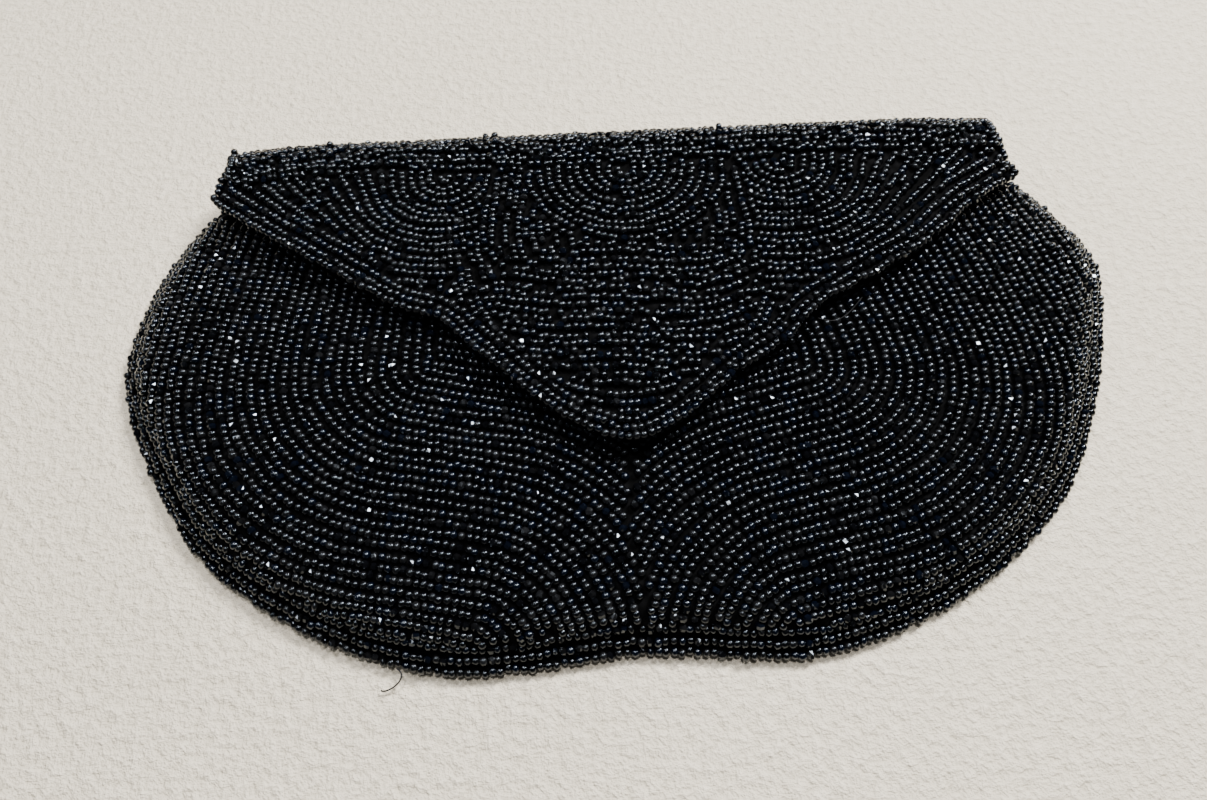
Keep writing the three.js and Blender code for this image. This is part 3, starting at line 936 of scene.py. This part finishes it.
def on_fold(x, s, depth=0.0):
    """s runs up the skin from the back's bend: a quarter round, the flat of the spine, another
    quarter round, and on to the flap."""
    top = flap_height(x, BEND_Y + 0 * x)
    rise = top - 2 * FOLD_R
    r = FOLD_R - depth
    low = np.clip(s / FOLD_R, 0, math.pi / 2)
    high = np.clip((s - CORNER - rise) / FOLD_R, 0, math.pi / 2)
    flat = np.clip(s - CORNER, 0, rise)
    past = np.clip(s - 2 * CORNER - rise, 0, None)
    before = np.clip(s, None, 0)
    y = BEND_Y + r * np.sin(low) - r * (1 - np.cos(high)) - past + before
    z = FOLD_R - r * np.cos(low) + flat + r * np.sin(high)
    return np.stack([x + 0 * y, y, z], -1)


SPINE_RISE = FLAP_TOP - 2 * FOLD_R
FOLD_LENGTH = 2 * CORNER + SPINE_RISE
MID_SPINE = FOLD_LENGTH / 2
FOLD_HALVES = {"fold_lower": (0.0, MID_SPINE), "fold_upper": (MID_SPINE, FOLD_LENGTH)}


def bend(made, name):
    """Bakes the placement of a piece of the fold into its mesh."""
    name == "fold_lower"
    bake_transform(made)


HEM_THICK = 0.2  # thickness of a cloth where its edge is turned down


def turned_down(x, y, depth, rows):
    """Adds rows past a cloth's edge and a column past each side, at the net's depth: there the
    cloth is turned down on to the net, over the edges of the layers between."""
    x, y, depth = (np.pad(a, ((0, rows), (1, 1)), mode="edge") for a in (x, y, depth))
    depth[:, [0, -1]] = NET_DEPTH[1]
    if rows:
        depth[-1] = NET_DEPTH[1]
    return x, y, depth


def fold_layer(name, half, depth, finish, slot, stretch, turned=False):
    """One layer of a half of the fold, from one end of the fold to the other."""
    skins = []
    for level, reach in zip(depth, (half - HEM_THICK * turned, half)):
        x, s = np.meshgrid(np.linspace(-reach, reach, 120), np.linspace(*stretch, 16))
        level = np.full(x.shape, level)
        if turned:
            x, s, level = turned_down(x, s, level, 0)
        skins.append(on_fold(x, s, level))
    return thin_sheet(name, *skins, finish, slot)


FOLD_ROW = 1.62
SLACK_SHARE = 0.03  # beads that stand proud on the upper half


def fold_sewing(stretch):
    """Threads along the fold, less even than elsewhere, and a thread up each end. A second pass
    fills the gaps."""
    end = FOLD_HALF - EDGING_INSET
    sewing = Sewing(on_fold, lambda p: (p[:, 1] > stretch[0]) & (p[:, 1] <= stretch[1]))
    for side in (-1, 1):
        sewing.thread(np.array([(side * end, stretch[0] - 1), (side * end, stretch[1] + 1)]))
    x = np.linspace(-end + 1.2, end - 1.2, 60)
    for room, step in ((1.05, FOLD_ROW), (1.25, 0.45)):
        for s in np.arange(stretch[0] + 0.4, stretch[1] + 0.2, step):
            wave = 0.25 * np.sin(x / 6.0 + draw.uniform(*ANY_ANGLE))
            sewing.thread(np.column_stack([x, s + wave]), room=room, wander=0.20)
    return sewing


for name, stretch in FOLD_HALVES.items():
    net = fold_layer(name + "_net", FOLD_HALF - NET_INSET, NET_DEPTH, NET, "jet_beads", stretch)
    bend(net, name)
    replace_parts(net, "spine_beaded_strip")
    name + "_interlining"
    past_bend, slack = (BEND_Y - FOLD_BAND_Y, SLACK_SHARE) if name == "fold_upper" else (0.0, 0.0)
    strung = fold_sewing((stretch[0], stretch[1] + past_bend))
    made = bead_pieces([name + "_beads"], on_fold, strung, facing=-1, proud=slack)[0]
    bend(made, name)
    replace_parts(made, "spine_edging_left", "spine_edging_right")


# ---------------------------------------------------------------------------------------------
# Loose thread: two short ends of the black sewing silk have worked out of the beadwork, one at
# the hem and one along the flap's edge on the right.
# ---------------------------------------------------------------------------------------------
THREAD_R = 0.11
THREAD_SIDES = 6


def silk_finish():
    """Twisted silk: fine bands across the thread, soft shine."""
    finish = Finish("sewing_silk", {
        "Base Color": (0.004, 0.004, 0.005, 1), "Roughness": 0.55, "Sheen Weight": 0.03,
        "Specular IOR Level": 0.25})
    twist = finish.threads(finish.place(turn=0.6), 5200.0, "X")
    finish.feed("Base Color", finish.blend(twist, (0.002, 0.002, 0.0025, 1), (0.012, 0.012, 0.014, 1)))
    finish.emboss(twist, 0.00005)
    return finish.material


SILK = silk_finish()


def silk(name, lines, radius):
    """Threads as tubes: on every point of a line a ring square to its direction. The rings of each
    end are half as wide."""
    lines = np.asarray(lines, float)
    ways = unit(np.gradient(lines, axis=1))
    side = unit(np.cross(ways, (0.31, 0.52, 0.80)))
    out = np.cross(ways, side)
    angle = np.arange(THREAD_SIDES) * 2 * np.pi / THREAD_SIDES
    across = (np.cos(angle)[:, None] * side[:, :, None] + np.sin(angle)[:, None] * out[:, :, None])
    widths = np.full(lines.shape[1], radius)
    widths[[0, -1]] = radius / 2
    mesh, _ = ringed(name, lines[:, :, None] + widths[:, None, None] * across)
    mesh.shade_smooth()
    return piece(name, mesh, SILK)


t = np.linspace(0, 1, 16)
hem_end = np.column_stack([-42 - 1.4 * t + 1.3 * np.sin(5 * t),
                           0.6 - 1.8 * t + 1.1 * np.cos(4.4 * t), 1.9 - 1.2 * t])
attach(silk("hem_thread", [hem_end], 1.3 * THREAD_R), "back")
flap_end = np.column_stack([36.4 + 9.0 * t, 59.6 + 4.2 * t - 1.6 * np.sin(math.pi * t),
                            FLAP_TOP - 0.6 - 1.4 * np.sin(math.pi * t)])
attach(silk("flap_thread", [flap_end], 0.7 * THREAD_R), "flap")


# ---------------------------------------------------------------------------------------------
# Stiffening: buckram in the back and the flap, soft cotton flannel in the front and the fold.
# The glued and basted layers are hidden between the beadwork and the lining.
# ---------------------------------------------------------------------------------------------
def woven(name, dark, light, per_metre, depth, roughness):
    """A plain weave: two sets of threads multiplied, over a slow change of colour."""
    finish = Finish(name, {"Base Color": light, "Roughness": roughness})
    where = finish.place()
    weave = finish.threads(where, per_metre, "X") * finish.threads(where, per_metre, "Y")
    finish.feed("Base Color", finish.blend(weave * 0.7 + finish.noise(where, 60.0) * 0.3, dark, light))
    finish.emboss(weave, depth)
    return finish.material


INTERLINING_INSET = 4.6
INTERLINING_DEPTH = (2.0, 2.6)
INTERLINING_SHORT = 0.5  # it ends this far short of the walls
BUCKRAM = woven("buckram", (0.36, 0.30, 0.21, 1), (0.58, 0.51, 0.38, 1), 900.0, 0.00015, 0.9)
FLANNEL = woven("cotton_flannel", (0.56, 0.53, 0.46, 1), (0.78, 0.75, 0.68, 1), 1300.0, 0.0001, 0.97)


def refinish(node, finish):
    """Gives a CAD node that stays its finish."""
    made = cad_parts[node]
    for place in made.material_slots:
        place.link = "OBJECT"
        place.material = finish


for node in ("back_board", "flap_board"):
    refinish(node, BUCKRAM)
refinish("front_interlining", FLANNEL)
half = FOLD_HALF - INTERLINING_INSET
for name, stretch in FOLD_HALVES.items():
    short = np.clip(stretch, INTERLINING_SHORT, FOLD_LENGTH - INTERLINING_SHORT)
    made = fold_layer(name + "_interlining", half, INTERLINING_DEPTH, FLANNEL, "cotton_flannel", short)
    bend(made, name)
    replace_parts(made, "spine_interlining")
    name + "_lining"


# ---------------------------------------------------------------------------------------------
# Lining: black satin, sewn in along the edge with a turned hem. It isn't quilted, so it lies in
# faint ripples that run out from the seam.
# ---------------------------------------------------------------------------------------------
LINING_INSET, FRONT_LINING_INSET = 4.0, 6.2
LINING_DEPTH = (3.0, 3.3)
LINING_TOP, FRONT_LINING_TOP = BEND_Y + 0.3, MOUTH_Y - 0.5
LINING_COLUMNS, LINING_ROWS = 240, 60
BODY_RIPPLE, FLAP_RIPPLE = 0.5, 0.35


def satin_finish():
    """Satin: glossy along one set of threads, with a fine rib, and cloudy where it is handled."""
    finish = Finish("black_satin", {
        "Base Color": (0.008, 0.0075, 0.009, 1), "Roughness": 0.48, "Sheen Weight": 0.05,
        "Sheen Roughness": 0.4, "Anisotropic": 0.3, "Specular IOR Level": 0.12})
    where = finish.place()
    rib = finish.threads(where, 4200.0, "Y")
    cloud = finish.noise(where, 28.0, 3.0)
    finish.feed("Base Color", finish.blend(cloud, (0.004, 0.0038, 0.0045, 1), (0.013, 0.012, 0.014, 1)))
    finish.feed("Roughness", 0.28 + 0.22 * cloud)
    finish.emboss(rib * 0.6 + finish.noise(where, 190.0) * 0.4, 0.00012)
    return finish.material


SATIN = satin_finish()


def ripples(x, y, line):
    """Ripples that fade away from the seam: a wave along the seam's direction, damped with the
    distance to it, from 0 to 1."""
    d = distance_to(line, x, y)
    wave = 0.5 + 0.5 * np.sin(x / 2.9 + 1.7 * np.sin(y / 11.0) + y / 6.0)
    return wave * np.exp(-(d / 9.0) ** 2) * np.clip(d / 1.5, 0, 1)


def lining(name, surface, grids, line, body, node, flat_line, lift):
    """A wall's lining, from the grids of its two faces. Its edge is turned down to the net, and
    its inner face is lifted by the ripples."""
    faces = []
    for (x, y), depth, waves in zip(grids, LINING_DEPTH, (0.0, lift)):
        level = depth + waves * ripples(x, y, line)
        faces.append(surface(*turned_down(x, y, level, 1)))
    made = thin_sheet(name, *faces, SATIN, "satin")
    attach(made, body)
    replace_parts(made, node)


def lining_line(distance):
    """The back's outline, moved inwards and cut off a little past the bend."""
    return evenly(below(inset(body_line, distance), LINING_TOP), count=LINING_COLUMNS)


def flap_lining_line(distance):
    """The flap's lower edge, moved inwards."""
    return evenly(flap_rim(distance), count=LINING_COLUMNS)


insets = (LINING_INSET + HEM_THICK, LINING_INSET)
edge = lining_line(LINING_INSET)
grids = [wall_grid(lining_line(d), LINING_TOP, None, LINING_ROWS) for d in insets]
lining("back_lining_satin", on_back, grids, edge, "back", "back_lining", edge, BODY_RIPPLE)
edge = evenly(below(inset(body_line, FRONT_LINING_INSET), FRONT_LINING_TOP), count=LINING_COLUMNS)
grids = [front_grid(edge, FRONT_LINING_TOP, LINING_ROWS)] * 2
lining("front_lining_satin", on_front, grids, edge, "back", "front_lining", edge, BODY_RIPPLE)
edge = flap_lining_line(LINING_INSET)
grids = [wall_grid(flap_lining_line(d), LINING_TOP, FOLD_HALF - d, LINING_ROWS) for d in insets]
lining("flap_lining_satin", on_flap, grids, edge, "flap", "flap_lining",
       flap_outline(LINING_INSET, LINING_TOP), FLAP_RIPPLE)
half = FOLD_HALF - LINING_INSET
for name, stretch in FOLD_HALVES.items():
    made = fold_layer(name + "_lining", half, LINING_DEPTH, SATIN, "satin", stretch, turned=True)
    bend(made, name)
    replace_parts(made, "spine_lining")
    name + "_interlining"

# The front's mouth is bound with a narrow strip of the satin, folded over the raw edges: a flat
# ellipse carried along the mouth.
BINDING_HALF, BINDING_DEEP, BINDING_SIDES = 0.45, 1.8, 12
x = np.linspace(-MOUTH_HALF, MOUTH_HALF, 120)[:, None]
angle = np.linspace(0, 2 * np.pi, BINDING_SIDES, endpoint=False)[None, :]
middle = front_height(x, MOUTH_Y + 0 * x) - 1.95
section = np.stack([x + 0 * angle, MOUTH_Y + 0.15 - BINDING_HALF * np.cos(angle) + 0 * x,
                    middle + BINDING_DEEP * np.sin(angle)], -1)
mesh, _ = ringed("mouth_binding", section[None])
mesh.shade_smooth()
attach(piece("mouth_binding", mesh, SATIN), "back")


# ---------------------------------------------------------------------------------------------
# Slip pocket: a satin patch with a turned top hem, felled to the back's lining on three sides. It
# bellies out a little towards its mouth, and its lower corners are rounded.
# ---------------------------------------------------------------------------------------------
POCKET_WIDE, POCKET_DEEP, POCKET_LOW, POCKET_Z = 104.0, 60.0, 22.0, 3.85
POCKET_CORNER, POCKET_THICK, POCKET_HEM = 6.0, 0.3, 0.22
u, v = np.meshgrid(np.linspace(-1, 1, 120), np.linspace(0, 1, 70))
bottom = np.clip(1 - v * POCKET_DEEP / POCKET_CORNER, 0, 1)
x = u * (POCKET_WIDE / 2 - POCKET_CORNER * (1 - np.sqrt(1 - bottom ** 2)))
y = POCKET_LOW + POCKET_DEEP * v
belly = 0.35 * (1 - u ** 2) * v + 0.10 * np.sin(9 * u + 3 * v) * v * (1 - u ** 2)
hem = POCKET_HEM * smoothstep(v, 0.855, 0.865)  # the top seventh is double
pocket = thin_sheet("pocket_satin", np.stack([x, y, POCKET_Z + belly + POCKET_THICK + hem], -1),
                    np.stack([x, y, POCKET_Z + 0 * belly], -1), SATIN, "satin")
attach(pocket, "back")
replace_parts(pocket, "inner_pocket_panel")


# ---------------------------------------------------------------------------------------------
# Snap: a sewn press stud of japanned steel. The socket half is on the front, the ball half on
# the flap's lining, each held by stitches of black thread round its rim.
# ---------------------------------------------------------------------------------------------
def snap_finish():
    """Blackened steel, worn brighter in cloudy patches."""
    finish = Finish("japanned_steel", {
        "Base Color": (0.03, 0.03, 0.032, 1), "Roughness": 0.3, "Metallic": 1.0, "Coat Weight": 0.3})
    where = finish.place()
    wear = finish.noise(where, 900.0, 3.0)
    finish.feed("Base Color", finish.blend(wear, (0.02, 0.02, 0.022, 1), (0.16, 0.155, 0.15, 1)))
    finish.feed("Roughness", 0.2 + 0.3 * wear)
    return finish.material


STEEL = snap_finish()
refinish("snap_socket", STEEL)
refinish("snap_ball", STEEL)


# ---------------------------------------------------------------------------------------------
# Stitches: black silk. Slanted felling stitches hold the linings and the pocket along their edges,
# and groups of stitches run over the rim of each half of the snap.
# ---------------------------------------------------------------------------------------------
STITCH_LONG, STITCH_PITCH = 1.5, 3.2
HEM_WIDE = 1.2  # the stitches lie this far inside the lining's edge
SNAP_RIM = 4.8


def felling(name, surface, line, lift, body, facing=1):
    """Short slanted stitches along a line of a wall, bowed a little off the cloth."""
    along = unit(np.gradient(line, axis=0))
    slant = along * 0.8 + along[:, ::-1] * (-0.6, 0.6)
    t = np.linspace(-0.5, 0.5, 5)[None, :, None]
    flat = line[:, None] + STITCH_LONG * t * slant[:, None]
    x, y = flat.reshape(-1, 2).T
    rise = lift + 0.18 * (1 - 4 * t[0, :, 0] ** 2)
    cloth = surface(x, y, LINING_DEPTH[1]).reshape(len(line), 5, 3)
    cloth[:, :, 2] += facing * rise
    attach(silk(name, cloth, THREAD_R), body)


back_hem = below(inset(body_line, LINING_INSET + HEM_WIDE), BEND_Y - 2)
felling("back_lining_stitches", on_back, evenly(back_hem, STITCH_PITCH), 0.12, "back")
flap_hem = flap_rim(LINING_INSET + HEM_WIDE)
felling("flap_lining_stitches", on_flap, evenly(flap_hem, STITCH_PITCH), -0.12, "flap", -1)
pocket_rim = np.array([(-51.3, 80), (-51.3, 30), (-47, 23.2), (0, 22.8), (47, 23.2), (51.3, 30),
                       (51.3, 80)])
felling("pocket_stitches", on_back, evenly(pocket_rim, 3.0), 0.95, "back")


def snap_stitches(name, node, body, facing):
    """Four groups of four stitches, each from the snap's inner rim over its edge to the cloth."""
    low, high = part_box(node)
    face = MM * (high.z if facing > 0 else low.z)
    turn = np.radians(np.add.outer([45, 135, 225, 315], [-12, -4, 4, 12]).ravel())
    r = np.array([SNAP_RIM - 1.3, SNAP_RIM - 0.8, SNAP_RIM - 0.1, SNAP_RIM + 0.35])
    z = face + facing * np.array([-0.25, 0.05, 0.02, -0.75])
    lines = np.stack([SNAP_X + np.cos(turn)[:, None] * r, SNAP_Y + np.sin(turn)[:, None] * r,
                      np.ones((len(turn), 1)) * z], -1)
    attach(silk(name, lines, THREAD_R), body)


snap_stitches("socket_stitches", "snap_socket", "back", 1)
snap_stitches("ball_stitches", "snap_ball", "flap", -1)
